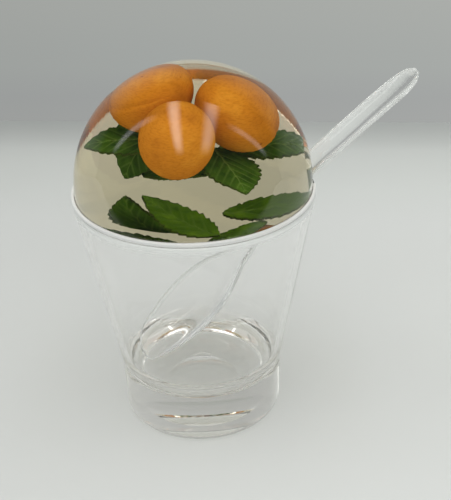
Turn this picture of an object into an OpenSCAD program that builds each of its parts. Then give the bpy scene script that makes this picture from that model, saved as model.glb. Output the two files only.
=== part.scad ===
// Clear jam pot with a domed lid and a long spoon.
// The lid's dome is cast round three apricots and a spray of leaves, and a
// notch in its edge lets the spoon's handle out while the pot is closed.
// Millimetres. The jar stands on z = 0 with its axis on Z, and +Z is up.

/* [Jar] */
// height of the jar to the top of its lip
jar_height = 90.5; // [86:0.5:96]
// outer radius of the lip
lip_radius = 43; // [42:0.25:45]
// thickness of the side wall
wall = 2.5; // [2.2:0.1:2.8]
// radius of the rounding on the lip's outer edge
lip_round = 0.8; // [0.4:0.1:1]
// outer radius at the top of the foot, where the cone starts
foot_top_radius = 30.4; // [29.5:0.1:31.5]
// outer radius of the foot low down
foot_radius = 29.9; // [29:0.1:30.4]
// height at which the cone starts
foot_height = 21; // [19:0.5:22.5]
// radius of the rounding under the foot
foot_round = 2.7; // [2:0.1:3.2]
// height of the flat floor inside
floor_height = 17.5; // [16:0.5:18.5]
// radius of the bowl-shaped turn from the floor to the wall
floor_round = 13.5; // [12:0.5:14.5]
// radius of the round moulding mark in the middle of the floor
gate_radius = 4; // [3:0.5:5]
// depth of the moulding mark
gate_depth = 0.4; // [0.2:0.1:0.6]
// radius of the shallow dish under the foot
recess_radius = 13.5; // [12:0.5:15]
// depth of the dish at its middle
recess_depth = 1.2; // [0.8:0.1:1.4]

/* [Lid] */
// thickness of the clear plate under the dome
plate_thickness = 1.4; // [1.2:0.1:1.8]
// radius of the rounding on the plate's edge
plate_round = 0.4; // [0.2:0.1:0.5]
// clearance between the jar's mouth and the ring that centres the lid
ring_gap = 1; // [0.8:0.1:1.3]
// thickness of the ring
ring_wall = 1.5; // [1.2:0.1:1.8]
// depth of the ring below the plate
ring_depth = 2.2; // [1.8:0.1:2.6]
// width of the plate's edge left bare round the resin dome
dome_inset = 1.2; // [1:0.1:1.8]
// height of the dome's straight band above the plate
dome_band = 1.6; // [1.2:0.2:2.4]
// width of the notch for the spoon
notch_width = 15; // [14.4:0.2:16]
// height of the notch above the jar's lip, to the top of its arch
notch_height = 13; // [12.5:0.5:14]
// depth of the notch, measured in from the plate's edge
notch_depth = 11.5; // [11:0.5:12]
// thickness of the dome's skirt over the notch
notch_roof = 1.1; // [0.9:0.1:1.5]
// width of the dome's skirt round the inner casting that holds the leaves
skirt_width = 8.8; // [8:0.2:9.6]

/* [Spoon] */
// length of the spoon along its top face
spoon_length = 149.2; // [148:0.2:151]
// half width of the bowl at its widest
bowl_half_width = 13.8; // [12.8:0.2:14.2]
// depth of the bowl below its rim
bowl_depth = 6; // [4.5:0.25:6.5]
// half width of the handle at its widest
handle_half_width = 4.9; // [4.4:0.1:5.2]
// thickness of the bowl's shell
shell_thickness = 1.8; // [1.5:0.1:2]
// depth of the channel along the handle
channel_depth = 0.9; // [0.5:0.1:1]

/* [Fruit and leaves] */
// radius of the front apricot across its length
front_apricot_radius = 10.9; // [10.4:0.1:11]
// half length of the front apricot from stem to tip
front_apricot_half_length = 11.9; // [11.4:0.1:12.2]
// radius of the left apricot
left_apricot_radius = 11; // [10.5:0.1:11]
// half length of the left apricot
left_apricot_half_length = 11.9; // [11.4:0.1:12.1]
// radius of the right apricot
right_apricot_radius = 10.4; // [10:0.1:10.5]
// half length of the right apricot
right_apricot_half_length = 12.4; // [11.8:0.1:12.5]
// radius of the suture's groove round an apricot
suture_radius = 0.9; // [0.6:0.1:1]
// thickness of a leaf's blade
blade_thickness = 0.5; // [0.4:0.05:0.6]
// height of the veins under a blade
vein_height = 0.25; // [0.15:0.05:0.3]
// depth of the teeth on a leaf's edge, as a share of its width
tooth_share = 0.13; // [0.05:0.01:0.16]
// width of a leaf's veins
vein_width = 0.45; // [0.3:0.05:0.5]
// length of the left leaf
left_leaf_length = 23.8; // [22:0.2:24.2]
// half width of the left leaf
left_leaf_half_width = 7.5; // [6.8:0.1:7.8]
// length of the leaf between the left and the front
left_front_leaf_length = 17.4; // [16.4:0.2:17.8]
// half width of the leaf between the left and the front
left_front_leaf_half_width = 8; // [7.2:0.1:8.2]
// length of the front leaf
front_leaf_length = 21.6; // [20.4:0.2:22]
// half width of the front leaf
front_leaf_half_width = 6.4; // [5.8:0.1:6.6]
// length of the leaf between the front and the right
right_front_leaf_length = 20; // [19:0.2:20.4]
// half width of the leaf between the front and the right
right_front_leaf_half_width = 8.8; // [8:0.1:9]
// length of the right leaf
right_leaf_length = 24; // [22.6:0.2:24.2]
// half width of the right leaf
right_leaf_half_width = 6.6; // [6:0.1:6.8]

/* [Hidden] */
nudge = 0.05;                 // overrun of a cutter past the face it cuts
half = 0.5;
round_steps = 96;
wide_steps = 720;             // for an arc that is a small share of its circle
small_steps = 32;

// where the lid and the dome start, and the seam between the dome's lower and upper casts
lid_base = jar_height;
dome_base = lid_base + plate_thickness;
seam_height = lid_base + notch_height + notch_roof;
notch_inner = lip_radius - notch_depth;

// the jar's inner cone keeps the wall's thickness and runs as the outer one
cone_slope = (lip_radius - foot_top_radius) / (jar_height - foot_height);
cone_angle = atan(cone_slope);
mouth_radius = lip_radius - wall;
ring_radius = mouth_radius - ring_gap;
dome_radius = lip_radius - dome_inset;
core_radius = dome_radius - skirt_width;
function inner_radius(z) = mouth_radius - (jar_height - z) * cone_slope;
// the turn at the floor is an arc that meets the floor and the cone smoothly
turn_z = floor_height + floor_round;
turn_r = inner_radius(turn_z) - floor_round / cos(cone_angle);
turn_end_r = turn_r + floor_round * cos(cone_angle);
turn_end_z = turn_z - floor_round * sin(cone_angle);

// the spoon's tip stands in the turn at the floor and its handle lies on the lip
tip_share = 0.965;            // tip's distance from the turn's centre, of its radius
tip_angle = 38.5;             // degrees round the turn from the floor
tip_side = 174.3;             // degrees about Z from +X
tip_reach = turn_r + floor_round * tip_share * sin(tip_angle);
tip_place = [tip_reach * cos(tip_side), tip_reach * sin(tip_side),
             turn_z - floor_round * tip_share * cos(tip_angle)];
seat_turn = 9;                // where the handle crosses the lip, degrees from +X
seat_rise_share = 3.5;        // height of its top face over the lip, of the shell
lip_middle = lip_radius - wall * half;
seat_place = [lip_middle * cos(seat_turn), lip_middle * sin(seat_turn),
              jar_height + shell_thickness * seat_rise_share];
seat_way = seat_place - tip_place;
seat_reach = norm([seat_way[0], seat_way[1]]);
spoon_turn = atan2(seat_way[1], seat_way[0]);
spoon_roll = 21;              // the bowl's open side leans towards -Y
roll_slope = 47.5;            // slope of the line it rolls about
notch_turn = 7.5;             // degrees from +X to the middle of the notch
spoon_steps = 64;
ring_half_steps = 9;
// slope of the spoon along its length: [share of the length, degrees]
slope_shares = [[0, 45.1], [0.13, 43.6], [0.34, 46.6], [0.42, 55.6], [0.575, 58.1],
                [0.65, 46.8], [0.72, 40.9], [0.85, 40.4], [1, 36.9]];
// outline of the bowl: [share of the length, share of the bowl's half width]
bowl_shares = [[0, 0.1], [0.007, 0.34], [0.02, 0.55], [0.047, 0.7], [0.088, 0.84],
               [0.14, 0.96], [0.195, 1], [0.245, 0.94], [0.295, 0.78],
               [0.335, 0.56], [0.37, 0.36], [0.41, 0.28], [0.45, 0.2]];
// outline of the handle: [share of the length, share of its half width]
handle_shares = [[0.37, 0.62], [0.45, 0.58], [0.52, 0.62], [0.6, 0.76], [0.68, 0.93],
                 [0.8, 1], [0.93, 0.98], [0.967, 0.86], [0.988, 0.62], [1, 0.25]];
// depth of the hollow, as a share of the bowl's depth
hollow_shares = [[0, 0], [0.02, 0.2], [0.06, 0.5], [0.12, 0.85], [0.19, 1],
                 [0.26, 0.9], [0.31, 0.6], [0.35, 0.3], [0.4, 0.08], [0.45, 0]];
// depth of the handle's channel, as a share of its full depth
channel_shares = [[0.36, 0], [0.44, 0.6], [0.55, 1], [0.9, 1], [0.95, 0.6], [0.985, 0]];
// thickness of the handle, as a share of the shell's
depth_shares = [[0, 0.75], [0.05, 1], [0.35, 1.1], [0.42, 1.5], [0.5, 1.45], [0.56, 1.2],
                [0.66, 1.2], [0.76, 1.6], [0.93, 1.6], [0.98, 1.3], [1, 0.8]];
bowl_edge_share = 0.55;       // height of the bowl's side edge over the shell
handle_share = 0.4;           // where along the spoon the handle's outline begins
bowl_end_share = 0.45;        // where the bowl's outline ends
channel_share = 0.36;         // where the channel begins

function slope_at(s) = lookup(s / spoon_length, slope_shares);
function half_width_at(s) =
    let (q = s / spoon_length)
    q < handle_share ? bowl_half_width * lookup(q, bowl_shares)
    : max(bowl_half_width * lookup(q, bowl_shares) * (q < bowl_end_share ? 1 : 0),
          handle_half_width * lookup(q, handle_shares));
function hollow_at(s) =
    let (q = s / spoon_length)
    bowl_depth * lookup(q, hollow_shares)
    + (q > channel_share ? channel_depth * lookup(q, channel_shares) : 0);
function depth_at(s) = shell_thickness * lookup(s / spoon_length, depth_shares);

spoon_step = spoon_length / spoon_steps;
// distance out and height of each station, added up from the tip
spoon_run = [for (i = 0, u = 0, z = 0; i <= spoon_steps;
                  u = u + spoon_step * cos(slope_at((i + half) * spoon_step)),
                  z = z + spoon_step * sin(slope_at((i + half) * spoon_step)),
                  i = i + 1) [u, z]];
// the spoon leans until its top face passes over the lip at the seat's height
run_slopes = [for (i = [1 : spoon_steps])
              [norm(spoon_run[i]), atan2(spoon_run[i][1], spoon_run[i][0])]];
spoon_lean = atan2(seat_way[2], seat_reach)
             - lookup(norm([seat_reach, seat_way[2]]), run_slopes);

// one closed outline across the spoon, first the top face, then the underside
function station(i) =
    let (s = i * spoon_step, w = half_width_at(s), d = hollow_at(s), t = depth_at(s),
         a = slope_at(s), u = spoon_run[i][0], z = spoon_run[i][1],
         edge = t * bowl_edge_share,
         top = [for (k = [-ring_half_steps : ring_half_steps])
                let (q = sin(90 * k / ring_half_steps))
                [w * q, -d * (1 - q * q)]],
         under = [for (k = [ring_half_steps : -1 : -ring_half_steps])
                  let (q = sin(90 * k / ring_half_steps))
                  [w * q, -edge - (d + t - edge) * (1 - q * q)]])
    [for (p = concat(top, under)) [u - p[1] * sin(a), p[0], z + p[1] * cos(a)]];

ring_count = 2 * (2 * ring_half_steps + 1);
spoon_points = [for (i = [0 : spoon_steps]) each station(i)];
side_count = 2 * ring_half_steps + 1;
// an end cap is a row of flat quads between the top face and the underside
function cap(start, flip) =
    [for (k = [0 : side_count - 2])
        let (q = [start + k, start + k + 1, start + ring_count - 2 - k,
                  start + ring_count - 1 - k])
        flip ? [q[3], q[2], q[1], q[0]] : q];
spoon_faces = concat(
    cap(0, false),
    [for (i = [0 : spoon_steps - 1]) for (k = [0 : ring_count - 1])
        let (n = (k + 1) % ring_count, a = i * ring_count, b = (i + 1) * ring_count)
        each [[a + k, b + k, b + n], [a + k, b + n, a + n]]],
    cap(spoon_steps * ring_count, true));

// the apricots: centres above the lid's underside, in dome radii, and leans
front_apricot_shares = [-0.0885, -0.39, 0.574];
left_apricot_shares = [-0.246, 0.136, 0.611];
right_apricot_shares = [0.287, 0.0383, 0.5144];
front_apricot_turns = [188, -6, 40];
left_apricot_turns = [244, 0, 37.6];
right_apricot_turns = [219, 0, -49];
front_suture_turn = 0;        // degrees about the apricot's own long axis
left_suture_turn = 181;
right_suture_turn = -12;
apricot_steps = 30;
stem_dip_share = 0.1;         // depth of the dimple at the stem
stem_width = 16;              // degrees from the stem to the dimple's shoulder
suture_start = -95;           // degrees from the fruit's waist to the suture's end
suture_sweep = 180;

// the leaves: stalk ends above the lid's underside, in dome radii, leans and bend
left_leaf_shares = [-0.084, 0, 0.3254];
left_front_leaf_shares = [-0.1244, 0.2656, 0.3158];
front_leaf_shares = [0.1316, -0.1746, 0.201];
right_front_leaf_shares = [0.1124, 0.0167, 0.2608];
right_leaf_shares = [0.134, 0.134, 0.189];
left_leaf_turns = [0, 1, 167];
left_front_leaf_turns = [-7, 13, 221];
front_leaf_turns = [0, 5, 145];
right_front_leaf_turns = [-15, 8, 302];
right_leaf_turns = [0, 0, 10];
left_leaf_bend = 14;
left_front_leaf_bend = 58;
front_leaf_bend = 22;
right_front_leaf_bend = 12;
right_leaf_bend = 11;
leaf_steps = 11;              // teeth along one edge
vein_pairs = 5;
vein_turn = 42;
vein_first_share = 0.15;      // places of the first and last pair of side veins
vein_last_share = 0.76;
vein_lead_share = 0.1;        // how far further on a side vein meets the edge
leaf_shape = 0.85;
widest_share = 0.45;          // place of the widest point along a leaf
sheet_share = 1.2;            // half width of the bent sheet over the leaf's

// jar: one turned profile, thick at the foot, thin up the cone

module jar_outside() {
    polygon([[0, 0], [foot_radius - foot_round, 0],
             [foot_radius - foot_round, foot_round], [foot_radius, foot_round],
             [foot_top_radius, foot_height], [lip_radius, jar_height - lip_round],
             [lip_radius - lip_round, jar_height - lip_round],
             [lip_radius - lip_round, jar_height], [0, jar_height]]);
    translate([foot_radius - foot_round, foot_round])
        circle(r = foot_round, $fn = small_steps);
    translate([lip_radius - lip_round, jar_height - lip_round])
        circle(r = lip_round, $fn = small_steps);
}

module jar_inside() {
    polygon([[0, floor_height], [turn_r, floor_height], [turn_r, turn_z],
             [turn_end_r, turn_end_z], [inner_radius(jar_height + nudge), jar_height + nudge],
             [0, jar_height + nudge]]);
    translate([turn_r, turn_z]) circle(r = floor_round, $fn = round_steps);
}

// the dish under the foot is part of a large sphere
module recess() {
    bend = (recess_radius * recess_radius + recess_depth * recess_depth)
           / (2 * recess_depth);
    intersection() {
        translate([0, recess_depth - bend]) circle(r = bend, $fn = wide_steps);
        translate([0, -nudge]) square([foot_radius, recess_depth + nudge]);
    }
}

module jar() {
    color([0.9, 0.92, 0.92, 0.35])
    difference() {
        rotate_extrude($fn = round_steps)
            difference() {
                jar_outside();
                jar_inside();
                recess();
            }
        translate([0, 0, floor_height - gate_depth])
            cylinder(r = gate_radius, h = gate_depth + nudge, $fn = small_steps);
    }
}

// lid: plate with its ring, and the dome

// the arched tunnel that the spoon's handle passes, open outwards from its inner end
module notch(inner) {
    arch = notch_width * half;
    bottom = lid_base - ring_depth - nudge;
    top = lid_base + notch_height - arch;
    rotate([0, 0, notch_turn])
        translate([inner, 0, 0])
            rotate([90, 0, 90])
                linear_extrude(height = lip_radius) {
                    translate([-arch, bottom]) square([notch_width, top - bottom]);
                    translate([0, top]) circle(r = arch, $fn = small_steps);
                }
}

module lid_plate() {
    color([0.86, 0.87, 0.9, 0.35])
    difference() {
        union() {
            translate([0, 0, lid_base])
                rotate_extrude($fn = round_steps) {
                    square([lip_radius - plate_round, plate_thickness]);
                    translate([0, plate_round])
                        square([lip_radius, plate_thickness - 2 * plate_round]);
                    translate([lip_radius - plate_round, plate_round])
                        circle(r = plate_round, $fn = small_steps);
                    translate([lip_radius - plate_round, plate_thickness - plate_round])
                        circle(r = plate_round, $fn = small_steps);
                }
            translate([0, 0, lid_base - ring_depth])
                difference() {
                    cylinder(r = ring_radius, h = ring_depth, $fn = round_steps);
                    translate([0, 0, -nudge])
                        cylinder(r = ring_radius - ring_wall, h = ring_depth + nudge,
                                 $fn = round_steps);
                }
        }
        notch(notch_inner);
    }
}

// the whole dome; its skirt, core and upper cast share it out
module dome_body() {
    translate([0, 0, dome_base])
        rotate_extrude($fn = round_steps) {
            square([dome_radius, dome_band]);
            translate([0, dome_band])
                intersection() {
                    circle(r = dome_radius, $fn = round_steps);
                    square([dome_radius, dome_radius]);
                }
        }
}

// the space below the seam, out to the given radius
module below_seam(radius) {
    translate([0, 0, dome_base - nudge])
        cylinder(r = radius, h = seam_height - dome_base + nudge, $fn = round_steps);
}

// the core's space: round, with a flat side that closes the notch's inner end
module core_space() {
    difference() {
        below_seam(core_radius);
        rotate([0, 0, notch_turn])
            translate([notch_inner, -core_radius, dome_base - 2 * nudge])
                cube([core_radius, 2 * core_radius, seam_height - dome_base + 3 * nudge]);
    }
}

module cast_spaces() {
    front_apricot_body();
    left_apricot_body();
    right_apricot_body();
    left_leaf_slot();
    left_front_leaf_slot();
    front_leaf_slot();
    right_front_leaf_slot();
    right_leaf_slot();
}

module dome_skirt() {
    color([0.85, 0.8, 0.62, 0.4])
    difference() {
        intersection() {
            dome_body();
            below_seam(lip_radius);
        }
        core_space();
        notch(notch_inner - nudge);
    }
}

module dome_core() {
    color([0.85, 0.8, 0.62, 0.4])
    difference() {
        intersection() {
            dome_body();
            core_space();
        }
        cast_spaces();
    }
}

module dome() {
    color([0.85, 0.8, 0.62, 0.4])
    difference() {
        dome_body();
        below_seam(lip_radius);
        cast_spaces();
    }
}

// apricots: a turned body with a dimple at the stem and a suture down one side

module apricot_body(radius, long) {
    rotate_extrude($fn = round_steps)
        polygon([for (i = [0 : apricot_steps])
                 let (a = 180 * i / apricot_steps,
                      dip = long * stem_dip_share * exp(-pow(a / stem_width, 2)))
                 [max(0, radius * sin(a)), long * cos(a) - dip]]);
}

module suture(radius, long, turn) {
    track = (radius + long) * half;
    rotate([90, 0, turn]) rotate([0, 0, suture_start])
        rotate_extrude(angle = suture_sweep, $fn = round_steps)
            translate([track + suture_radius * half, 0])
                circle(r = suture_radius, $fn = small_steps);
}

module apricot(radius, long, turn) {
    difference() {
        apricot_body(radius, long);
        suture(radius, long, turn);
    }
}

module in_dome(shares, turns) {
    translate([0, 0, lid_base]) translate(dome_radius * shares) rotate(turns) children();
}
module at_front_apricot() { in_dome(front_apricot_shares, front_apricot_turns) children(); }
module at_left_apricot() { in_dome(left_apricot_shares, left_apricot_turns) children(); }
module at_right_apricot() { in_dome(right_apricot_shares, right_apricot_turns) children(); }
module front_apricot_body() {
    at_front_apricot() apricot_body(front_apricot_radius, front_apricot_half_length);
}
module left_apricot_body() {
    at_left_apricot() apricot_body(left_apricot_radius, left_apricot_half_length);
}
module right_apricot_body() {
    at_right_apricot() apricot_body(right_apricot_radius, right_apricot_half_length);
}

module apricot_front() {
    color([0.93, 0.56, 0.16]) at_front_apricot()
        apricot(front_apricot_radius, front_apricot_half_length, front_suture_turn);
}
module apricot_left() {
    color([0.92, 0.54, 0.15]) at_left_apricot()
        apricot(left_apricot_radius, left_apricot_half_length, left_suture_turn);
}
module apricot_right() {
    color([0.93, 0.55, 0.15]) at_right_apricot()
        apricot(right_apricot_radius, right_apricot_half_length, right_suture_turn);
}

// leaves: a toothed outline cut from a bent sheet, with raised veins below

// half width of a leaf at a share of its length
function leaf_half_width(q, w) =
    w * pow(sin(180 * pow(q, ln(half) / ln(widest_share))), leaf_shape);

// distance along the ground of a point at length s on an arc of radius r
function ground(s, r) = r * sin(s / r * 180 / PI);

function leaf_edge(long, wide, r, side) =
    [for (i = [0 : leaf_steps - 1])
        let (q = (i + half * half) / leaf_steps, e = (i + 1) / leaf_steps)
        each [[ground(q * long, r), side * leaf_half_width(q, wide) * (1 - tooth_share)],
              [ground(min(e, 1 - half / leaf_steps) * long, r),
               side * leaf_half_width(min(e, 1 - half / leaf_steps), wide)]]];

module leaf_outline(long, wide, r) {
    left = leaf_edge(long, wide, r, 1);
    right = leaf_edge(long, wide, r, -1);
    polygon(concat([[0, 0]], left, [[ground(long, r), 0]],
                   [for (i = [len(right) - 1 : -1 : 0]) right[i]]));
}

module leaf_veins(long, wide, r) {
    polygon([[0, -vein_width], [ground(long * (1 - tooth_share), r), 0], [0, vein_width]]);
    for (i = [0 : vein_pairs - 1], side = [-1, 1])
        let (q = vein_first_share + (vein_last_share - vein_first_share) * i / vein_pairs)
        translate([ground(long * q, r), 0])
            rotate([0, 0, side * vein_turn])
                translate([0, -vein_width * half])
                    square([leaf_half_width(q + vein_lead_share, wide) * sheet_share,
                            vein_width]);
}

// sheet of the given thickness that bends down along +X on an arc of radius r
module bent_sheet(r, top, bottom, wide) {
    translate([0, wide, -r]) rotate([90, 0, 0])
        difference() {
            cylinder(r = r + top, h = 2 * wide, $fn = round_steps);
            translate([0, 0, -nudge])
                cylinder(r = r + bottom, h = 2 * (wide + nudge), $fn = round_steps);
        }
}

module leaf_column(long, r) {
    translate([0, 0, -r]) linear_extrude(height = r + long * half) children();
}

module leaf(long, wide, bend) {
    r = long / bend * 180 / PI;
    intersection() {
        bent_sheet(r, blade_thickness * half, -blade_thickness * half, sheet_share * wide);
        leaf_column(long, r) leaf_outline(long, wide, r);
    }
    intersection() {
        bent_sheet(r, 0, -blade_thickness * half - vein_height, sheet_share * wide);
        leaf_column(long, r)
            intersection() {
                leaf_outline(long, wide, r);
                leaf_veins(long, wide, r);
            }
    }
}

// the space that a leaf takes in the resin
module leaf_slot(long, wide, bend) {
    r = long / bend * 180 / PI;
    intersection() {
        bent_sheet(r, blade_thickness * half, -blade_thickness * half - vein_height,
                   sheet_share * wide);
        leaf_column(long, r) leaf_outline(long, wide, r);
    }
}

module at_left_leaf() { in_dome(left_leaf_shares, left_leaf_turns) children(); }
module at_left_front_leaf() {
    in_dome(left_front_leaf_shares, left_front_leaf_turns) children();
}
module at_front_leaf() { in_dome(front_leaf_shares, front_leaf_turns) children(); }
module at_right_front_leaf() {
    in_dome(right_front_leaf_shares, right_front_leaf_turns) children();
}
module at_right_leaf() { in_dome(right_leaf_shares, right_leaf_turns) children(); }

module left_leaf_slot() {
    at_left_leaf() leaf_slot(left_leaf_length, left_leaf_half_width, left_leaf_bend);
}
module left_front_leaf_slot() {
    at_left_front_leaf()
        leaf_slot(left_front_leaf_length, left_front_leaf_half_width, left_front_leaf_bend);
}
module front_leaf_slot() {
    at_front_leaf() leaf_slot(front_leaf_length, front_leaf_half_width, front_leaf_bend);
}
module right_front_leaf_slot() {
    at_right_front_leaf()
        leaf_slot(right_front_leaf_length, right_front_leaf_half_width,
                  right_front_leaf_bend);
}
module right_leaf_slot() {
    at_right_leaf() leaf_slot(right_leaf_length, right_leaf_half_width, right_leaf_bend);
}

module leaf_left() {
    color([0.2, 0.33, 0.18]) at_left_leaf()
        leaf(left_leaf_length, left_leaf_half_width, left_leaf_bend);
}
module leaf_left_front() {
    color([0.2, 0.32, 0.13]) at_left_front_leaf()
        leaf(left_front_leaf_length, left_front_leaf_half_width, left_front_leaf_bend);
}
module leaf_front() {
    color([0.22, 0.34, 0.13]) at_front_leaf()
        leaf(front_leaf_length, front_leaf_half_width, front_leaf_bend);
}
module leaf_right_front() {
    color([0.2, 0.34, 0.16]) at_right_front_leaf()
        leaf(right_front_leaf_length, right_front_leaf_half_width, right_front_leaf_bend);
}
module leaf_right() {
    color([0.22, 0.36, 0.2]) at_right_leaf()
        leaf(right_leaf_length, right_leaf_half_width, right_leaf_bend);
}

// spoon: cross-sections lofted along a line that bends once at the jar's lip

module spoon() {
    color([0.9, 0.93, 0.93, 0.35])
    translate(tip_place) rotate([0, 0, spoon_turn]) rotate([0, -spoon_lean, 0])
        rotate(a = spoon_roll, v = [cos(roll_slope), 0, sin(roll_slope)])
        polyhedron(points = spoon_points, faces = spoon_faces, convexity = 6);
}

jar();
lid_plate();
dome_skirt();
dome_core();
dome();
apricot_front();
apricot_left();
apricot_right();
leaf_left();
leaf_left_front();
leaf_front();
leaf_right_front();
leaf_right();
spoon();
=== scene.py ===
"""Looks of a clear jam pot: a lid cast round apricots and leaves, and a long spoon."""

import math

import bmesh
import bpy
from mathutils import Euler, Matrix, Vector, noise


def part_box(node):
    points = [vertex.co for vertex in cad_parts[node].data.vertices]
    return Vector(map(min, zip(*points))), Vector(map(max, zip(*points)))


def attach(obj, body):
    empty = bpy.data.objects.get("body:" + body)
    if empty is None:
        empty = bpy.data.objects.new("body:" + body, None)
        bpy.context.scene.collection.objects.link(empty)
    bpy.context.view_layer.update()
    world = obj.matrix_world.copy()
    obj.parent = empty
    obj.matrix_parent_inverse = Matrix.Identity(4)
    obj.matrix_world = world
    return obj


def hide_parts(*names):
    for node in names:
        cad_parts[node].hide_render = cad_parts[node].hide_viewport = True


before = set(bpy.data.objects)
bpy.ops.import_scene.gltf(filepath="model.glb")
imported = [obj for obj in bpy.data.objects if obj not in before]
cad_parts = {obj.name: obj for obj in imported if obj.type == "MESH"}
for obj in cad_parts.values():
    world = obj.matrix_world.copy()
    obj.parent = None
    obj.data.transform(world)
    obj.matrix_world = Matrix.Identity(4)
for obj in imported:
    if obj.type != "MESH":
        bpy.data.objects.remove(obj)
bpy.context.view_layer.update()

MM = 0.001
FULL_TURN = 2 * math.pi
TINY = 1e-6

# jar, in millimetres
JAR_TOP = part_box("jar")[1].z / MM
LIP_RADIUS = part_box("jar")[1].x / MM
WALL = 2.5
LIP_ROUND = 0.8
LIP_INNER_ROUND = 0.5
SHOULDER_ROUND = 3.0
FOOT_TOP_RADIUS = 30.4
FOOT_RADIUS = 29.9
FOOT_HEIGHT = 21
FOOT_ROUND = 2.7
RECESS_RADIUS = 13.5
RECESS_DEPTH = 1.2
FLOOR_HEIGHT = 17.5
FLOOR_ROUND = 13.5
GATE_RADIUS = 4
GATE_DEPTH = 0.4
GATE_ROUND = 0.2

# lid
PLATE = 1.4
PLATE_ROUND = 0.4
RING_RADIUS = 39.5
RING_WALL = 1.5
RING_DEPTH = 2.2
RING_ROUND = 0.3
DOME_RADIUS = 41.8
DOME_BAND = 1.6
NOTCH_WIDTH = 15
NOTCH_HEIGHT = 13
NOTCH_INNER = 31.5
NOTCH_TURN = 7.5

LATHE_STEPS = 256
SUPPORT = 0.15
DOME_STEPS = 96
ARC_STEPS = {"recess": 12, "foot": 16, "shoulder": 6, "lip": 8, "inner_lip": 6,
             "floor": 32, "gate": 4, "notch": 32, "ring": 4, "plate": 5, "sweep": 12}
NOTCH_SLACK = 1               # how far the notch's cutter runs on below the ring
NOTCH_REACH = 10              # and beyond the rim


def mesh_piece(name, verts, faces, material, sharp=30.0):
    """A new smooth-shaded mesh object; verts in millimetres."""
    mesh = bpy.data.meshes.new(name)
    mesh.from_pydata([Vector(v) * MM for v in verts], [], faces)
    bm = bmesh.new()
    bm.from_mesh(mesh)
    bmesh.ops.recalc_face_normals(bm, faces=bm.faces)
    bm.to_mesh(mesh)
    bm.free()
    mesh.shade_smooth()
    if sharp:
        mesh.set_sharp_from_angle(angle=math.radians(sharp))
    piece = bpy.data.objects.new(name, mesh)
    bpy.context.scene.collection.objects.link(piece)
    if material:
        mesh.materials.append(material)
    return piece


def arc(x, z, radius, start, end, steps):
    """Points along an arc in a profile, in (radius, height)."""
    turns = [math.radians(start + (end - start) * k / steps) for k in range(steps + 1)]
    return [(x + radius * math.cos(a), z + radius * math.sin(a)) for a in turns]


def supported(profile):
    """The profile with two more points near the ends of each long straight stretch, so
    that smooth shading stays within the corners."""
    points = [Vector(profile[0])]
    for end in map(Vector, profile[1:]):
        start = points[-1]
        way = end - start
        if way.length > 3 * SUPPORT:
            points += [start + way.normalized() * SUPPORT, end - way.normalized() * SUPPORT]
        points.append(end)
    return points


def lathe(name, profile, material, steps=LATHE_STEPS):
    """A turned piece; the profile starts and ends on the axis."""
    verts, rings, faces = [], [], []
    for r, z in supported(profile):
        if r < TINY:
            rings.append([len(verts)] * steps)
            verts.append((0, 0, z))
            continue
        rings.append(range(len(verts), len(verts) + steps))
        for k in range(steps):
            a = FULL_TURN * k / steps
            verts.append((r * math.cos(a), r * math.sin(a), z))
    for low, high in zip(rings, rings[1:]):
        for k in range(steps):
            n = (k + 1) % steps
            corners = [low[k], low[n], high[n], high[k]]
            faces.append([c for i, c in enumerate(corners) if c not in corners[:i]])
    return mesh_piece(name, verts, faces, material)


# materials

def shader(name):
    """A new node material: its tree, its Principled shader and its output."""
    material = bpy.data.materials.new(name)
    material.use_nodes = True
    tree = material.node_tree
    return material, tree, tree.nodes["Principled BSDF"], tree.nodes["Material Output"]


def node(tree, kind, inputs=None, **settings):
    """Adds a node, sets its properties and its inputs: a value, or a socket to link."""
    made = tree.nodes.new(kind)
    for key, value in settings.items():
        setattr(made, key, value)
    for key, value in (inputs or {}).items():
        if isinstance(value, bpy.types.NodeSocket):
            tree.links.new(value, made.inputs[key])
        else:
            made.inputs[key].default_value = value
    return made


def ramp(tree, source, stops, interpolation="EASE"):
    made = node(tree, "ShaderNodeValToRGB", {"Fac": source})
    made.color_ramp.interpolation = interpolation
    elements = made.color_ramp.elements
    while len(elements) < len(stops):
        elements.new(1.0)
    for element, (place, color) in zip(elements, stops):
        element.position = place
        element.color = (*color, 1) if len(color) == 3 else color
    return made.outputs["Color"]


def multiplied(tree, first, second, factor=1.0):
    """The two colours multiplied, in the given share."""
    return node(tree, "ShaderNodeMix", {"Factor": factor, "A": first, "B": second},
                data_type="RGBA", blend_type="MULTIPLY").outputs["Result"]


def matted(tree, surface, share, color):
    """The surface with a share of plain matt colour in it."""
    matt = node(tree, "ShaderNodeBsdfDiffuse", {"Color": (*color, 1)})
    return node(tree, "ShaderNodeMixShader", {0: share, 1: surface,
                                              2: matt.outputs["BSDF"]}).outputs["Shader"]


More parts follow.
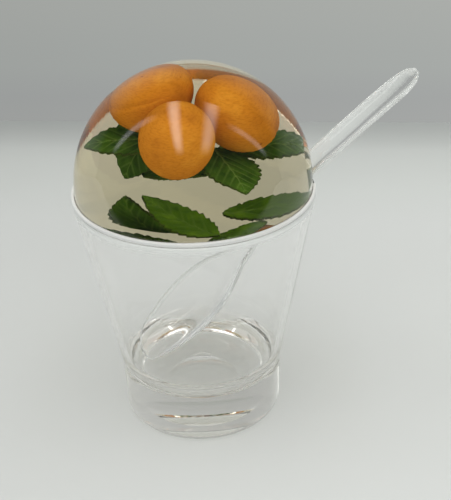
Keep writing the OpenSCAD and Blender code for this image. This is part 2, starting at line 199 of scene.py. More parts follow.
def clear_plastic(name, ior, ripple, wear, absorb=None, density=0.0, rim=None, edge_highlight_share=0.0):
    """Clear moulded plastic: a faint ripple, fine wear, light passing in its shadow.

    The rim is an inner and an outer radius, a share and a colour; worn is the share of
    pale matt colour on the mesh's edge, a painted highlight standing in for its bright edges.
    """
    material, tree, body, output = shader(name)
    body.inputs["Base Color"].default_value = (1, 1, 1, 1)
    body.inputs["IOR"].default_value = ior
    body.inputs["Transmission Weight"].default_value = 1.0
    place = node(tree, "ShaderNodeTexCoord").outputs["Object"]
    wear_map = node(tree, "ShaderNodeTexNoise",
                    {"Vector": place, "Scale": 70.0, "Detail": 6.0, "Roughness": 0.7})
    rough = node(tree, "ShaderNodeMapRange",
                 {"Value": wear_map.outputs["Fac"], "From Min": 0.6, "From Max": 0.85,
                  "To Min": 0.0, "To Max": wear})
    tree.links.new(rough.outputs["Result"], body.inputs["Roughness"])
    wave = node(tree, "ShaderNodeTexNoise",
                {"Vector": place, "Scale": 45.0, "Detail": 1.0, "Roughness": 0.4})
    bump = node(tree, "ShaderNodeBump",
                {"Height": wave.outputs["Fac"], "Strength": ripple, "Distance": 0.0004})
    tree.links.new(bump.outputs["Normal"], body.inputs["Normal"])
    through = node(tree, "ShaderNodeBsdfTransparent",
                   {"Color": (PASSING, PASSING, PASSING, 1)})
    path = node(tree, "ShaderNodeLightPath")
    soft_light = node(tree, "ShaderNodeMath", {0: path.outputs["Is Shadow Ray"],
                                               1: path.outputs["Is Diffuse Ray"]},
                      operation="MAXIMUM")
    surface = body.outputs["BSDF"]
    if rim:
        # the edge outside the rim's radius is left as it was cut, matt and pale
        flat = node(tree, "ShaderNodeVectorMath", {0: place, 1: (1, 1, 0)},
                    operation="MULTIPLY")
        away = node(tree, "ShaderNodeVectorMath", {0: flat.outputs["Vector"]},
                    operation="LENGTH")
        cut_edge = node(tree, "ShaderNodeMapRange",
                        {"Value": away.outputs["Value"], "From Min": rim[0] * MM,
                         "From Max": rim[1] * MM, "To Min": 0.0, "To Max": rim[2]})
        surface = matted(tree, surface, cut_edge.outputs["Result"], rim[3])
    if edge_highlight_share:
        # painted highlight: a share of pale matt colour along the moulding's edge, where the
        # mesh says so, standing in for its bright edge highlights
        edge = node(tree, "ShaderNodeAttribute", attribute_name="edge").outputs["Fac"]
        edge_highlight_mask = node(tree, "ShaderNodeMath", {0: edge, 1: edge_highlight_share}, operation="MULTIPLY")
        surface = matted(tree, surface, edge_highlight_mask.outputs["Value"], (0.83, 0.84, 0.82))
    mix = node(tree, "ShaderNodeMixShader", {0: soft_light.outputs["Value"],
                                             1: surface,
                                             2: through.outputs["BSDF"]})
    tree.links.new(mix.outputs["Shader"], output.inputs["Surface"])
    if absorb:
        volume = node(tree, "ShaderNodeVolumeAbsorption",
                      {"Color": (*absorb, 1), "Density": density})
        tree.links.new(volume.outputs["Volume"], output.inputs["Volume"])
    return material


def apricot_material(name, seed):
    """Orange skin, deeper and paler in broad patches, with fine streaks, pores and a few
    freckles.
    """
    material, tree, body, output = shader(name)
    place = node(tree, "ShaderNodeTexCoord").outputs["Object"]
    moved = node(tree, "ShaderNodeMapping", {"Vector": place, "Location": (seed, 0, 0)})
    broad = node(tree, "ShaderNodeTexNoise", {"Vector": moved.outputs["Vector"],
                                              "Scale": 90.0, "Detail": 3.0})
    stretched = node(tree, "ShaderNodeMapping", {"Vector": moved.outputs["Vector"],
                                                 "Scale": (0.4, 0.4, 1.5)})
    streaks = node(tree, "ShaderNodeTexNoise", {"Vector": stretched.outputs["Vector"],
                                                "Scale": 1900.0, "Detail": 4.0})
    base = ramp(tree, broad.outputs["Fac"], [(0.3, (0.50, 0.165, 0.012)),
                                             (0.5, (0.62, 0.220, 0.016)),
                                             (0.72, (0.72, 0.290, 0.026))])
    dark = ramp(tree, streaks.outputs["Fac"], [(0.35, (0.80, 0.72, 0.6)),
                                               (0.55, (1, 1, 1))])
    skin = multiplied(tree, base, dark, 0.6)
    # pores, and a few brown freckles
    pores = node(tree, "ShaderNodeTexVoronoi", {"Vector": moved.outputs["Vector"],
                                                "Scale": 900.0})
    pore = ramp(tree, pores.outputs["Distance"], [(0.08, (0.80, 0.70, 0.55)),
                                                  (0.22, (1, 1, 1))])
    pored = multiplied(tree, skin, pore, 0.55)
    freckles = node(tree, "ShaderNodeTexVoronoi", {"Vector": moved.outputs["Vector"],
                                                   "Scale": 130.0})
    freckle = ramp(tree, freckles.outputs["Distance"], [(0.035, (0.42, 0.25, 0.2)),
                                                        (0.075, (1, 1, 1))])
    tree.links.new(multiplied(tree, pored, freckle, 0.8), body.inputs["Base Color"])
    body.inputs["Roughness"].default_value = 0.5
    # the resin wets the skin, so it has no gloss of its own
    body.inputs["Specular IOR Level"].default_value = 0.0
    bump = node(tree, "ShaderNodeBump", {"Height": streaks.outputs["Fac"],
                                         "Strength": 0.3, "Distance": 0.0001})
    tree.links.new(bump.outputs["Normal"], body.inputs["Normal"])
    return material


def leaf_material(name):
    """Dark green blade with paler veins, darker between them and brown at the edge."""
    material, tree, body, output = shader(name)
    place = node(tree, "ShaderNodeTexCoord").outputs["Object"]
    vein = node(tree, "ShaderNodeAttribute", attribute_name="vein").outputs["Fac"]
    edge = node(tree, "ShaderNodeAttribute", attribute_name="edge").outputs["Fac"]
    cloud = node(tree, "ShaderNodeTexNoise", {"Vector": place, "Scale": 220.0,
                                              "Detail": 5.0, "Roughness": 0.6})
    blade = ramp(tree, cloud.outputs["Fac"], [(0.3, (0.022, 0.058, 0.005)),
                                              (0.5, (0.044, 0.105, 0.009)),
                                              (0.72, (0.078, 0.165, 0.018))])
    under = node(tree, "ShaderNodeAttribute", attribute_name="under").outputs["Fac"]
    paler = multiplied(tree, blade, (2.05, 1.80, 1.0, 1))
    blade = node(tree, "ShaderNodeMix", {"Factor": under, "A": blade, "B": paler},
                 data_type="RGBA").outputs["Result"]
    veined = node(tree, "ShaderNodeMix", {"Factor": vein, "A": blade,
                                          "B": (0.15, 0.25, 0.05, 1)}, data_type="RGBA")
    tipped = node(tree, "ShaderNodeMix", {"Factor": edge, "A": veined.outputs["Result"],
                                          "B": (0.035, 0.028, 0.010, 1)},
                  data_type="RGBA")
    tree.links.new(tipped.outputs["Result"], body.inputs["Base Color"])
    body.inputs["Roughness"].default_value = 0.5
    body.inputs["Specular IOR Level"].default_value = 0.0
    fine = node(tree, "ShaderNodeTexNoise", {"Vector": place, "Scale": 1500.0,
                                             "Detail": 3.0})
    bump = node(tree, "ShaderNodeBump", {"Height": fine.outputs["Fac"],
                                         "Strength": 0.35, "Distance": 0.0001})
    tree.links.new(bump.outputs["Normal"], body.inputs["Normal"])
    return material


PASSING = 0.90                # share of light that each clear face lets into the shade
ACRYLIC_IOR = 1.49
RESIN_IOR = 1.53

acrylic = clear_plastic("clear_acrylic", ACRYLIC_IOR, 0.012, 0.04,
                        absorb=(0.94, 0.93, 0.885), density=15.0,
                        rim=(LIP_RADIUS - 0.5, LIP_RADIUS - 0.15, 0.75, (0.76, 0.77, 0.75)))
resin = clear_plastic("casting_resin", RESIN_IOR, 0.004, 0.02,
                      absorb=(0.83, 0.71, 0.24), density=10.0,
                      rim=(DOME_RADIUS + 0.1, DOME_RADIUS + 0.4, 0.8,
                           (0.80, 0.80, 0.79)))
# the spoon's edge gets a pale matt painted highlight
spoon_plastic = clear_plastic("spoon_acrylic", ACRYLIC_IOR, 0.04, 0.06, edge_highlight_share=0.5)

# jar

cone_slope = (LIP_RADIUS - FOOT_TOP_RADIUS) / (JAR_TOP - FOOT_HEIGHT)
cone_angle = math.atan(cone_slope)
mouth = LIP_RADIUS - WALL


def inner_radius(z):
    return mouth - (JAR_TOP - z) * cone_slope


turn_z = FLOOR_HEIGHT + FLOOR_ROUND
turn_r = inner_radius(turn_z) - FLOOR_ROUND / math.cos(cone_angle)


def make_jar():
    lean = math.degrees(cone_angle)
    profile = [(0, RECESS_DEPTH)]
    recess_bow = (RECESS_RADIUS**2 + RECESS_DEPTH**2) / (2 * RECESS_DEPTH)
    sweep = math.degrees(math.asin(RECESS_RADIUS / recess_bow))
    profile += arc(0, RECESS_DEPTH - recess_bow, recess_bow, 90, 90 - sweep,
                   ARC_STEPS["recess"])[1:]
    profile += arc(FOOT_RADIUS - FOOT_ROUND, FOOT_ROUND, FOOT_ROUND, -90, 0,
                   ARC_STEPS["foot"])
    foot_lean = math.degrees(math.atan((FOOT_TOP_RADIUS - FOOT_RADIUS)
                                       / (FOOT_HEIGHT - FOOT_ROUND)))
    bend = math.radians(lean - foot_lean) / 2
    corner = Vector((FOOT_TOP_RADIUS, FOOT_HEIGHT))
    turn = math.radians((lean + foot_lean) / 2)
    outward = Vector((math.cos(turn), -math.sin(turn)))
    centre = corner + outward * SHOULDER_ROUND / math.cos(bend)
    profile += arc(*centre, SHOULDER_ROUND, 180 - foot_lean, 180 - lean,
                   ARC_STEPS["shoulder"])
    profile += arc(LIP_RADIUS - LIP_ROUND, JAR_TOP - LIP_ROUND, LIP_ROUND, -lean, 90,
                   ARC_STEPS["lip"])
    profile += arc(mouth + LIP_INNER_ROUND, JAR_TOP - LIP_INNER_ROUND, LIP_INNER_ROUND,
                   90, 180 - lean, ARC_STEPS["inner_lip"])
    profile += arc(turn_r, turn_z, FLOOR_ROUND, -lean, -90, ARC_STEPS["floor"])
    profile += arc(GATE_RADIUS + GATE_ROUND, FLOOR_HEIGHT - GATE_ROUND, GATE_ROUND,
                   90, 180, ARC_STEPS["gate"])
    profile += [(GATE_RADIUS, FLOOR_HEIGHT - GATE_DEPTH), (0, FLOOR_HEIGHT - GATE_DEPTH)]
    piece = lathe("clear_jar", profile, acrylic)
    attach(piece, "pot")
    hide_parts("jar")
    return piece


# lid

def notch_cutter():
    """The arched tunnel for the spoon's handle, as a closed prism."""
    half_width = NOTCH_WIDTH / 2
    spring = JAR_TOP + NOTCH_HEIGHT - half_width
    foot = JAR_TOP - RING_DEPTH - NOTCH_SLACK
    outline = [(half_width, foot)]
    outline += arc(0, spring, half_width, 0, 180, ARC_STEPS["notch"])
    outline += [(-half_width, foot)]
    count = len(outline)
    verts = [(x, y, z) for x in (NOTCH_INNER, LIP_RADIUS + NOTCH_REACH) for y, z in outline]
    faces = [list(range(count)), list(range(2 * count - 1, count - 1, -1))]
    faces += [[k, (k + 1) % count, (k + 1) % count + count, k + count] for k in range(count)]
    cutter = mesh_piece("notch_cutter", verts, faces, None, sharp=0)
    cutter.rotation_euler.z = math.radians(NOTCH_TURN)
    return cutter


def cut(piece, cutter):
    """Takes the cutter's space out of the piece, and removes the cutter."""
    boolean = piece.modifiers.new("cut", "BOOLEAN")
    boolean.operation = "DIFFERENCE"
    boolean.solver = "EXACT"
    boolean.object = cutter
    bpy.context.view_layer.update()
    solid = bpy.data.meshes.new_from_object(
        piece.evaluated_get(bpy.context.evaluated_depsgraph_get()))
    piece.modifiers.clear()
    piece.data = solid
    solid.shade_smooth()
    solid.set_sharp_from_angle(angle=math.radians(30))
    bpy.data.objects.remove(cutter)


def make_lid():
    base = JAR_TOP
    top = base + PLATE
    ring_inner = RING_RADIUS - RING_WALL
    profile = [(0, base), (ring_inner, base), (ring_inner, base - RING_DEPTH + RING_ROUND)]
    profile += arc(ring_inner + RING_ROUND, base - RING_DEPTH + RING_ROUND, RING_ROUND,
                   180, 270, ARC_STEPS["ring"])
    profile += arc(RING_RADIUS - RING_ROUND, base - RING_DEPTH + RING_ROUND, RING_ROUND,
                   -90, 0, ARC_STEPS["ring"])
    profile += [(RING_RADIUS, base)]
    profile += arc(LIP_RADIUS - PLATE_ROUND, base + PLATE_ROUND, PLATE_ROUND, -90, 0,
                   ARC_STEPS["plate"])
    profile += arc(LIP_RADIUS - PLATE_ROUND, top - PLATE_ROUND, PLATE_ROUND, 0, 90,
                   ARC_STEPS["plate"])
    profile += [(DOME_RADIUS, top)]
    profile += arc(0, top + DOME_BAND, DOME_RADIUS, 0, 90, DOME_STEPS)[:-1]
    profile += [(0, top + DOME_BAND + DOME_RADIUS)]
    piece = lathe("clear_lid", profile, resin)
    cut(piece, notch_cutter())
    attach(piece, "lid")
    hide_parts("lid_plate", "dome_skirt", "dome_core", "dome")
    return piece


# spoon

SPOON_LENGTH = 149.2
BOWL_HALF_WIDTH = 13.8
BOWL_DEPTH = 6
HANDLE_HALF_WIDTH = 4.9
EDGE_HIGHLIGHT_WIDTH = 1.0
SHELL = 1.8
CHANNEL_DEPTH = 0.9
SPOON_TURN = 3.63
SPOON_LEAN = 0.107
SPOON_ROLL = 21
ROLL_SLOPE = 47.5
SPOON_TIP = (-23.98, 2.39, 20.8)
BOWL_EDGE_SHARE = 0.55
EDGE_ROUND_SHARE = 0.3
HANDLE_START_SHARE = 0.4
BOWL_END_SHARE = 0.45
CHANNEL_START_SHARE = 0.36
SPOON_STEPS = 300
ACROSS_STEPS = 24
slope_shares = [(0, 45.1), (0.13, 43.6), (0.34, 46.6), (0.42, 55.6), (0.575, 58.1),
                (0.65, 46.8), (0.72, 40.9), (0.85, 40.4), (1, 36.9)]
bowl_shares = [(0, 0.1), (0.007, 0.34), (0.02, 0.55), (0.047, 0.7), (0.088, 0.84),
               (0.14, 0.96), (0.195, 1), (0.245, 0.94), (0.295, 0.78),
               (0.335, 0.56), (0.37, 0.36), (0.41, 0.28), (0.45, 0.2)]
handle_shares = [(0.37, 0.62), (0.45, 0.58), (0.52, 0.62), (0.6, 0.76), (0.68, 0.93),
                 (0.8, 1), (0.93, 0.98), (0.967, 0.86), (0.988, 0.62), (1, 0.25)]
hollow_shares = [(0, 0), (0.02, 0.2), (0.06, 0.5), (0.12, 0.85), (0.19, 1),
                 (0.26, 0.9), (0.31, 0.6), (0.35, 0.3), (0.4, 0.08), (0.45, 0)]
channel_shares = [(0.36, 0), (0.44, 0.6), (0.55, 1), (0.9, 1), (0.95, 0.6), (0.985, 0)]
depth_shares = [(0, 0.75), (0.05, 1), (0.35, 1.1), (0.42, 1.5), (0.5, 1.45), (0.56, 1.2),
                (0.66, 1.2), (0.76, 1.6), (0.93, 1.6), (0.98, 1.3), (1, 0.8)]


def follow(table, q):
    """The value at q on a smooth curve through the table's points."""
    if q <= table[0][0]:
        return table[0][1]
    if q >= table[-1][0]:
        return table[-1][1]
    k = max(i for i, (place, value) in enumerate(table) if place <= q)

    def gradient(i):
        low, high = table[max(i - 1, 0)], table[min(i + 1, len(table) - 1)]
        before = table[i][1] - low[1]
        after = high[1] - table[i][1]
        if before * after <= 0:
            return 0.0
        return (high[1] - low[1]) / (high[0] - low[0])

    (q0, v0), (q1, v1) = table[k], table[k + 1]
    span = q1 - q0
    t = (q - q0) / span
    return ((2 * t**3 - 3 * t**2 + 1) * v0 + (t**3 - 2 * t**2 + t) * span * gradient(k)
            + (3 * t**2 - 2 * t**3) * v1 + (t**3 - t**2) * span * gradient(k + 1))


def spoon_half_width(q):
    """The wider of bowl and handle at q, a share of the spoon's length."""
    bowl = BOWL_HALF_WIDTH * follow(bowl_shares, q) if q < BOWL_END_SHARE else 0
    if q < HANDLE_START_SHARE:
        return bowl
    return max(bowl, HANDLE_HALF_WIDTH * follow(handle_shares, q))


def make_spoon():
    """Cross-sections lofted along the spoon's line, the top face first, then the underside."""
    verts, faces, edges = [], [], []
    along, height = 0.0, 0.0
    step = SPOON_LENGTH / SPOON_STEPS
    count = 4 * ACROSS_STEPS
    for i in range(SPOON_STEPS + 1):
        q = i / SPOON_STEPS
        slope = math.radians(follow(slope_shares, q))
        width = spoon_half_width(q)
        hollow = BOWL_DEPTH * follow(hollow_shares, q)
        if q > CHANNEL_START_SHARE:
            hollow += CHANNEL_DEPTH * follow(channel_shares, q)
        depth = SHELL * follow(depth_shares, q)
        edge = depth * BOWL_EDGE_SHARE
        section = []
        for k in range(2 * ACROSS_STEPS):
            side = math.sin(math.pi / 2 * (k / ACROSS_STEPS - 1))
            section.append((width * side, -hollow * (1 - side * side)))
        for k in range(2 * ACROSS_STEPS):
            side = math.sin(math.pi / 2 * (1 - k / ACROSS_STEPS))
            section.append((width * side,
                            -edge - (hollow + depth - edge) * (1 - side * side)))
        section[0] = (-width, -EDGE_ROUND_SHARE * edge)
        section[2 * ACROSS_STEPS - 1] = (section[2 * ACROSS_STEPS - 1][0], 0.0)
        for across, lift in section:
            verts.append((along - lift * math.sin(slope), across,
                          height + lift * math.cos(slope)))
            # closeness to the edge, which carries the spoon's painted edge highlight
            edges.append(min(1, max(0, 1 - (width - abs(across)) / EDGE_HIGHLIGHT_WIDTH)))
        middle = math.radians(follow(slope_shares, q + 0.5 / SPOON_STEPS))
        along += step * math.cos(middle)
        height += step * math.sin(middle)
    for i in range(SPOON_STEPS):
        for k in range(count):
            n = (k + 1) % count
            a, b = i * count, (i + 1) * count
            faces.append((a + k, b + k, b + n, a + n))
    faces.append(list(range(count)))
    faces.append(list(range(SPOON_STEPS * count, (SPOON_STEPS + 1) * count)))
    roll_axis = Vector((math.cos(math.radians(ROLL_SLOPE)), 0,
                        math.sin(math.radians(ROLL_SLOPE))))
    place = (Matrix.Translation(SPOON_TIP)
             @ Matrix.Rotation(math.radians(SPOON_TURN), 4, "Z")
             @ Matrix.Rotation(math.radians(-SPOON_LEAN), 4, "Y")
             @ Matrix.Rotation(math.radians(SPOON_ROLL), 4, roll_axis))
    piece = mesh_piece("clear_spoon", [place @ Vector(v) for v in verts], faces,
                       spoon_plastic, sharp=50)
    piece.data.attributes.new("edge", "FLOAT", "POINT").data.foreach_set("value", edges)
    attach(piece, "spoon")
    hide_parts("spoon")
    return piece


# apricots: centre above the lid's underside, radius, half length, turns and the turn of
# the suture about the long axis

APRICOTS = {
    "apricot_front": ((-3.7, -16.3, 24.0), 10.9, 11.9, (188, -6, 40), 0),
    "apricot_left": ((-10.28, 5.68, 25.54), 11.0, 11.9, (244, 0, 37.6), 181),
    "apricot_right": ((12.0, 1.6, 21.5), 10.4, 12.4, (219, 0, -49), -12),
}
APRICOT_AROUND = 192
APRICOT_ALONG = 96
UNEVEN_HEIGHT = 0.12
UNEVEN_SCALE = 1.7
STEM_DIP_SHARE = 0.1
STEM_WIDTH = 16
GROOVE_DEPTH = 0.35
GROOVE_WIDTH = 5.0


def make_apricot(name, place, radius, long, turn, suture_turn, seed):
    around, along = APRICOT_AROUND, APRICOT_ALONG
    verts, faces = [], []
    for i in range(along + 1):
        down = 180 * i / along
        for k in range(around):
            side = 360 * k / around
            a, b = math.radians(down), math.radians(side)
            away = abs((side - suture_turn + 180) % 360 - 180)
            groove = GROOVE_DEPTH * math.exp(-((away / GROOVE_WIDTH) ** 2))
            groove *= math.sin(a) ** 0.5 if 0 < down < 180 else 0
            r = radius * math.sin(a) - groove
            dip = long * STEM_DIP_SHARE * math.exp(-((down / STEM_WIDTH) ** 2))
            way = Vector((math.sin(a) * math.cos(b), math.sin(a) * math.sin(b), math.cos(a)))
            wave = UNEVEN_HEIGHT * noise.noise(way * UNEVEN_SCALE + Vector((seed, 0, 0)))
            r += wave * math.sin(a)
            verts.append((r * math.cos(b), r * math.sin(b), long * math.cos(a) - dip))
    for i in range(along):
        for k in range(around):
            n = (k + 1) % around
            faces.append((i * around + k, i * around + n,
                          (i + 1) * around + n, (i + 1) * around + k))
    turned = Euler([math.radians(v) for v in turn]).to_matrix()
    centre = Vector(place) + Vector((0, 0, JAR_TOP))
    piece = mesh_piece(name + "_skin", [turned @ Vector(v) + centre for v in verts], faces,
                       apricot_material(name + "_skin", seed), sharp=0)
    bm = bmesh.new()
    bm.from_mesh(piece.data)
    bmesh.ops.remove_doubles(bm, verts=bm.verts, dist=TINY)
    bm.to_mesh(piece.data)
    bm.free()
    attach(piece, "lid")
    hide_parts(name)
    return piece


# leaves: stalk end above the lid's underside, turns about Z, Y and X, length,
# half width and bend down along the length

LEAVES = {
    "leaf_left": ((-3.5, 0, 13.6), (167, 1, 0), 23.8, 7.5, 14),
    "leaf_left_front": ((-5.2, 11.1, 13.2), (221, 13, -7), 17.4, 8.0, 58),
    "leaf_front": ((5.5, -7.3, 8.4), (145, 5, 0), 21.6, 6.4, 22),
    "leaf_right_front": ((4.7, 0.7, 10.9), (302, 8, -15), 20.0, 8.8, 12),
    "leaf_right": ((5.6, 5.6, 7.9), (10, 0, 0), 24.0, 6.6, 11),
}
BLADE = 0.5
TEETH = 11
TOOTH_SHARE = 0.13
WIDEST_SHARE = 0.45
LEAF_SHAPE = 0.85
VEIN_PAIRS = 5
VEIN_TURN = math.radians(42)
LEAF_ALONG = 264
LEAF_ACROSS = 48
TOOTH_START = 0.7             # share of the half width at which the teeth begin
VEIN_WIDTH = 0.22
MIDRIB_WIDTH = 0.32
PUFF = 0.22
MIDRIB_SINK = 0.15
LEAF_WAVE = 0.25
EDGE_START = 0.94
EDGE_SHARE = 0.6


def blade_half_width(q, wide):
    bent = q ** (math.log(0.5) / math.log(WIDEST_SHARE))
    return wide * math.sin(math.pi * min(max(bent, 0), 1)) ** LEAF_SHAPE


def tooth(q):
    """0 at the foot of a tooth and 1 at its point, which leans to the leaf's tip."""
    turn = (q * TEETH) % 1
    return turn / 0.75 if turn < 0.75 else (1 - turn) / 0.25


def make_leaf(name, place, turn, long, wide, bend):
    along, across = LEAF_ALONG, LEAF_ACROSS
    radius = long / math.radians(bend)
    spacing = long / (VEIN_PAIRS + 1.5)
    verts, faces, veins, edges = [], [], [], []
    for face in (0.5, -0.5):
        for i in range(along + 1):
            q = i / along
            for k in range(across + 1):
                t = 2 * k / across - 1
                smooth = blade_half_width(q, wide) * (1 - TOOTH_SHARE)
                toothed = blade_half_width(q, wide) * (1 - TOOTH_SHARE * (1 - tooth(q)))
                share = max(0, (abs(t) - TOOTH_START) / (1 - TOOTH_START))
                y = t * (smooth + (toothed - smooth) * share)
                s = q * long
                phase = (s - abs(y) / math.tan(VEIN_TURN)) / spacing
                near = abs(phase - round(phase)) * spacing * math.sin(VEIN_TURN)
                side_vein = math.exp(-((near / VEIN_WIDTH) ** 2)) * (0.6 if phase > 0.4 else 0)
                midrib = math.exp(-((y / (MIDRIB_WIDTH * (1.1 - q))) ** 2))
                vein = max(side_vein * (1 - 0.5 * abs(t)), midrib)
                puff = PUFF * (0.5 - 0.5 * math.cos(FULL_TURN * phase)) * (1 - t * t)
                lift = puff - MIDRIB_SINK * midrib + face * BLADE
                lift += LEAF_WAVE * noise.noise(Vector((s * 0.25, y * 0.25, len(name))))
                a = s / radius
                verts.append(((radius + lift) * math.sin(a), y,
                              (radius + lift) * math.cos(a) - radius))
                veins.append(min(1, vein))
                edges.append(max(0, (abs(t) - EDGE_START) / (1 - EDGE_START)) * EDGE_SHARE)
    row, sheet = across + 1, (along + 1) * (across + 1)
    for base in (0, sheet):
        for i in range(along):
            for k in range(across):
                a = base + i * row + k
                faces.append((a, a + 1, a + row + 1, a + row))
    for i in range(along):
        for k in (0, across):
            a = i * row + k
            faces.append((a, a + row, a + row + sheet, a + sheet))
    for i in (0, along):
        for k in range(across):
            a = i * row + k
            faces.append((a, a + 1, a + 1 + sheet, a + sheet))
    turns = (Matrix.Rotation(math.radians(turn[0]), 3, "Z")
             @ Matrix.Rotation(math.radians(turn[1]), 3, "Y")
             @ Matrix.Rotation(math.radians(turn[2]), 3, "X"))
    base = Vector(place) + Vector((0, 0, JAR_TOP))
    piece = mesh_piece(name + "_blade", [turns @ Vector(v) + base for v in verts], faces,
                       leaf_green, sharp=60)
    unders = [0.0] * sheet + [1.0] * sheet
    for label, values in (("vein", veins), ("edge", edges), ("under", unders)):
        piece.data.attributes.new(label, "FLOAT", "POINT").data.foreach_set("value", values)
    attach(piece, "lid")
    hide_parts(name)
    return piece


leaf_green = leaf_material("leaf_blade")

make_jar()
make_lid()
make_spoon()
for number, (name, facts) in enumerate(APRICOTS.items()):
    make_apricot(name, *facts, seed=3.7 * (number + 1))
for name, facts in LEAVES.items():
    make_leaf(name, *facts)

# floor and backdrop: one sweep, paler below and greyer behind

FLOOR_BACK = 0.298
SWEEP_ROUND = 0.02
FLOOR_GAP = 0.00005
SWEEP_TURN = math.radians(-5.3)
WALL_TOP = 2.5
STAGE_HALF = 2.5
FLOOR_START = 0.1
FLOOR_TONES = [(0.0, (0.663, 0.667, 0.650)), (0.23, (0.665, 0.670, 0.655)),
               (0.41, (0.645, 0.655, 0.635)), (0.60, (0.615, 0.625, 0.605)),
               (0.68, (0.590, 0.600, 0.582)), (0.75, (0.520, 0.530, 0.515)),
               (0.83, (0.458, 0.468, 0.455)), (0.915, (0.415, 0.425, 0.417)),
               (1.0, (0.382, 0.394, 0.388))]
WALL_TONES = [(0.0, (0.356, 0.366, 0.358)), (0.004, (0.350, 0.362, 0.356)),
              (0.012, (0.366, 0.383, 0.369)), (0.032, (0.386, 0.400, 0.381)),
              (0.06, (0.43, 0.44, 0.43)), (0.16, (0.47, 0.48, 0.47)),
              (0.4, (0.62, 0.64, 0.63)), (1.0, (0.85, 0.87, 0.86))]
PAINTED_SIDE_LIGHT = 0.12              # painted light and shade: how much lighter the right side is than the left, which lies in shade


def reflected(tree, path):
    """1 for a ray that a gloss threw back, and 0 for one that went through a face."""
    plain = node(tree, "ShaderNodeMath", {0: path.outputs["Is Glossy Ray"],
                                          1: path.outputs["Is Transmission Ray"]},
                 operation="SUBTRACT", use_clamp=True)
    return plain.outputs["Value"]


def painted_side_light(tree, split, tone):
    """The tone with painted light and shade, a little lighter towards +X and darker to the
    left.
    """
    side = node(tree, "ShaderNodeMapRange", {"Value": split.outputs["X"],
                                             "From Min": -0.15, "From Max": 0.15,
                                             "To Min": 1.0 - PAINTED_SIDE_LIGHT / 2,
                                             "To Max": 1.0 + PAINTED_SIDE_LIGHT / 2})
    grey = node(tree, "ShaderNodeCombineColor", {0: side.outputs["Result"],
                                                 1: side.outputs["Result"],
                                                 2: side.outputs["Result"]})
    return multiplied(tree, tone, grey.outputs["Color"])


def floor_material():
    """Matt pale top that greys towards its back edge."""
    material, tree, body, output = shader("floor")
    place = node(tree, "ShaderNodeTexCoord").outputs["Object"]
    split = node(tree, "ShaderNodeSeparateXYZ", {"Vector": place})
    back = node(tree, "ShaderNodeMapRange", {"Value": split.outputs["Y"],
                                             "From Min": FLOOR_START,
                                             "From Max": FLOOR_BACK})
    # painted shade on the left, painted light on the right
    tone = painted_side_light(tree, split, ramp(tree, back.outputs["Result"], FLOOR_TONES, "LINEAR"))
    cloud_map = node(tree, "ShaderNodeTexNoise", {"Vector": place, "Scale": 6.0,
                                                  "Detail": 2.0})
    cloud = ramp(tree, cloud_map.outputs["Fac"], [(0.3, (0.97, 0.97, 0.97)),
                                                  (0.7, (1, 1, 1))])
    mixed = multiplied(tree, tone, cloud)
    # past the table's front edge the room is dark, as reflections show
    path = node(tree, "ShaderNodeLightPath")
    front = node(tree, "ShaderNodeMapRange", {"Value": split.outputs["Y"],
                                              "From Min": -0.10, "From Max": -0.17,
                                              "To Min": 0.0, "To Max": 0.92},
                 interpolation_type="SMOOTHSTEP")
    unseen = node(tree, "ShaderNodeMath", {0: front.outputs["Result"],
                                           1: reflected(tree, path)},
                  operation="MULTIPLY")
    shown = node(tree, "ShaderNodeMix", {"Factor": unseen.outputs["Value"],
                                         "A": mixed,
                                         "B": (0.02, 0.02, 0.02, 1)}, data_type="RGBA")
    tree.links.new(shown.outputs["Result"], body.inputs["Base Color"])
    body.inputs["Roughness"].default_value = 0.7
    body.inputs["Specular IOR Level"].default_value = 0.2
    return material


def wall_material():
    """Grey wall, paler higher up; it shows its colour plainly, also through glass."""
    material, tree, body, output = shader("wall")
    place = node(tree, "ShaderNodeTexCoord").outputs["Object"]
    split = node(tree, "ShaderNodeSeparateXYZ", {"Vector": place})
    height = node(tree, "ShaderNodeMapRange", {"Value": split.outputs["Z"],
                                               "From Min": 0.0, "From Max": WALL_TOP})
    # painted shade on the left, painted light on the right
    tone = painted_side_light(tree, split, ramp(tree, height.outputs["Result"], WALL_TONES))
    tree.links.new(tone, body.inputs["Base Color"])
    body.inputs["Roughness"].default_value = 0.9
    path = node(tree, "ShaderNodeLightPath")
    # reflections show it dim higher up, as the room beyond it is
    upper = node(tree, "ShaderNodeMapRange", {"Value": split.outputs["Z"],
                                              "From Min": 0.1, "From Max": 0.55,
                                              "To Min": 0.0, "To Max": 0.88},
                 interpolation_type="SMOOTHSTEP")
    dimmed = node(tree, "ShaderNodeMath", {0: upper.outputs["Result"],
                                           1: reflected(tree, path)},
                  operation="MULTIPLY")
    strength = node(tree, "ShaderNodeMath", {0: 1.0, 1: dimmed.outputs["Value"]},
                    operation="SUBTRACT")
    plain = node(tree, "ShaderNodeEmission", {"Color": tone,
                                              "Strength": strength.outputs["Value"]})
    clear = node(tree, "ShaderNodeMath", {0: path.outputs["Is Glossy Ray"],
                                          1: path.outputs["Is Transmission Ray"]},
                 operation="MAXIMUM")
    seen = node(tree, "ShaderNodeMath", {0: path.outputs["Is Camera Ray"],
                                         1: clear.outputs["Value"]}, operation="MAXIMUM")
    mix = node(tree, "ShaderNodeMixShader", {0: seen.outputs["Value"],
                                             1: body.outputs["BSDF"],
                                             2: plain.outputs["Emission"]})
    tree.links.new(mix.outputs["Shader"], output.inputs["Surface"])
    return material


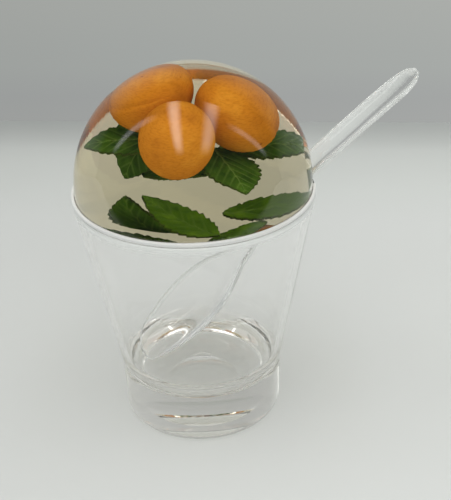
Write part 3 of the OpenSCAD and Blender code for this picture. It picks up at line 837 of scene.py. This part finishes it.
def make_stage():
    profile = [(-STAGE_HALF, 0)]
    profile += arc(FLOOR_BACK - SWEEP_ROUND, SWEEP_ROUND, SWEEP_ROUND, -90, 0,
                   ARC_STEPS["sweep"])
    profile += [(FLOOR_BACK, WALL_TOP)]
    floor_count = 1
    verts, faces = [], []
    for y, z in profile:
        verts += [(-STAGE_HALF, y, z), (STAGE_HALF, y, z)]
    for k in range(len(profile) - 1):
        faces.append((2 * k, 2 * k + 1, 2 * k + 3, 2 * k + 2))
    for name, some, material in (("floor", faces[:floor_count], floor_material()),
                                 ("wall", faces[floor_count:], wall_material())):
        stage = mesh_piece(name, [Vector(v) / MM for v in verts], some, material, sharp=0)
        stage.rotation_euler.z = SWEEP_TURN
        stage.location.z = -FLOOR_GAP


make_stage()

# lights

world = bpy.data.worlds.new("studio")
bpy.context.scene.world = world
world.use_nodes = True
sky = world.node_tree.nodes["Background"]
sky.inputs["Color"].default_value = (0.88, 0.90, 0.89, 1)
sky_path = node(world.node_tree, "ShaderNodeLightPath")
# the room's ceiling is dim between its lights, as its reflections show
through = node(world.node_tree, "ShaderNodeMapRange",
               {"Value": sky_path.outputs["Is Transmission Ray"],
                "To Min": 1.14, "To Max": 0.75})
dim = node(world.node_tree, "ShaderNodeMix", {0: reflected(world.node_tree, sky_path),
                                              2: through.outputs["Result"], 3: 0.12},
           data_type="FLOAT")
world.node_tree.links.new(dim.outputs[0], sky.inputs["Strength"])


LAMP_FADES = (("X", 0.45), ("Y", 0.3))


def lamp(name, place, target, width, height, power):
    """A ceiling lamp that gets dimmer towards its edges."""
    data = bpy.data.lights.new(name, "AREA")
    data.shape = "RECTANGLE"
    data.size, data.size_y, data.energy = width, height, power
    data.use_nodes = True
    tree = data.node_tree
    across = node(tree, "ShaderNodeNewGeometry").outputs["Parametric"]
    split = node(tree, "ShaderNodeSeparateXYZ", {"Vector": across})
    fades = []
    for axis, fade in LAMP_FADES:
        middle = node(tree, "ShaderNodeMath", {0: split.outputs[axis], 1: 0.5},
                      operation="SUBTRACT")
        away = node(tree, "ShaderNodeMath", {0: middle.outputs["Value"]},
                    operation="ABSOLUTE")
        fades.append(node(tree, "ShaderNodeMapRange",
                          {"Value": away.outputs["Value"], "From Min": 0.5 - fade,
                           "From Max": 0.5, "To Min": 1.0, "To Max": 0.0},
                          interpolation_type="SMOOTHSTEP").outputs["Result"])
    strength = node(tree, "ShaderNodeMath", {0: fades[0], 1: fades[1]},
                    operation="MULTIPLY")
    tree.links.new(strength.outputs["Value"], tree.nodes["Emission"].inputs["Strength"])
    piece = bpy.data.objects.new(name, data)
    piece.location = place
    piece.rotation_euler = (Vector(target) - Vector(place)).to_track_quat("-Z", "Y").to_euler()
    bpy.context.scene.collection.objects.link(piece)


# rows of long ceiling lights, which run from front to back: place, target, width,
# length and power
ROWS = {
    "row_middle": ((-0.27, -0.28, 1.33), (-0.27, -0.28, 0), 0.30, 1.75, 7.4),
    "row_right": ((0.36, -0.28, 1.33), (0.36, -0.28, 0), 0.36, 1.75, 6.0),
    "row_left": ((-1.5, 0.1, 1.33), (-0.8, 0.1, 0), 0.3, 1.8, 3.5),
    "row_far_right": ((1.65, -0.2, 1.33), (0.9, -0.2, 0), 0.3, 1.8, 3.0),
}
for name, facts in ROWS.items():
    lamp(name, *facts)

# camera

RIM_RADIUS = 43
VIEW_DOWN = math.radians(29.852)
VIEW_ROLL = math.radians(-1.8417)
VIEW_DISTANCE = 8.21166 * RIM_RADIUS
VIEW_RIGHT = -0.2603 * RIM_RADIUS
VIEW_UP = 0.50935 * RIM_RADIUS
FOCAL_PIXELS = 1000
FRAME_HEIGHT = 500
SENSOR = 36


def make_camera():
    forward = Vector((0, math.cos(VIEW_DOWN), -math.sin(VIEW_DOWN)))
    level = Vector((1, 0, 0))
    upright = level.cross(forward)
    right = level * math.cos(VIEW_ROLL) + upright * math.sin(VIEW_ROLL)
    up = upright * math.cos(VIEW_ROLL) - level * math.sin(VIEW_ROLL)
    place = -forward * VIEW_DISTANCE - right * VIEW_RIGHT - up * VIEW_UP
    place = (place + Vector((0, 0, JAR_TOP))) * MM
    data = bpy.data.cameras.new("camera")
    data.sensor_fit = "VERTICAL"
    data.sensor_height = SENSOR
    data.lens = SENSOR * FOCAL_PIXELS / FRAME_HEIGHT
    data.clip_start = 0.01
    camera = bpy.data.objects.new("camera", data)
    bpy.context.scene.collection.objects.link(camera)
    camera.matrix_world = Matrix((
        (right.x, up.x, -forward.x, place.x),
        (right.y, up.y, -forward.y, place.y),
        (right.z, up.z, -forward.z, place.z),
        (0, 0, 0, 1)))
    bpy.context.scene.camera = camera


make_camera()
scene = bpy.context.scene
scene.view_settings.view_transform = "Standard"
# light turns many corners inside clear plastic
scene.cycles.max_bounces = 32
scene.cycles.glossy_bounces = 24
scene.cycles.transmission_bounces = 24
scene.cycles.transparent_max_bounces = 24
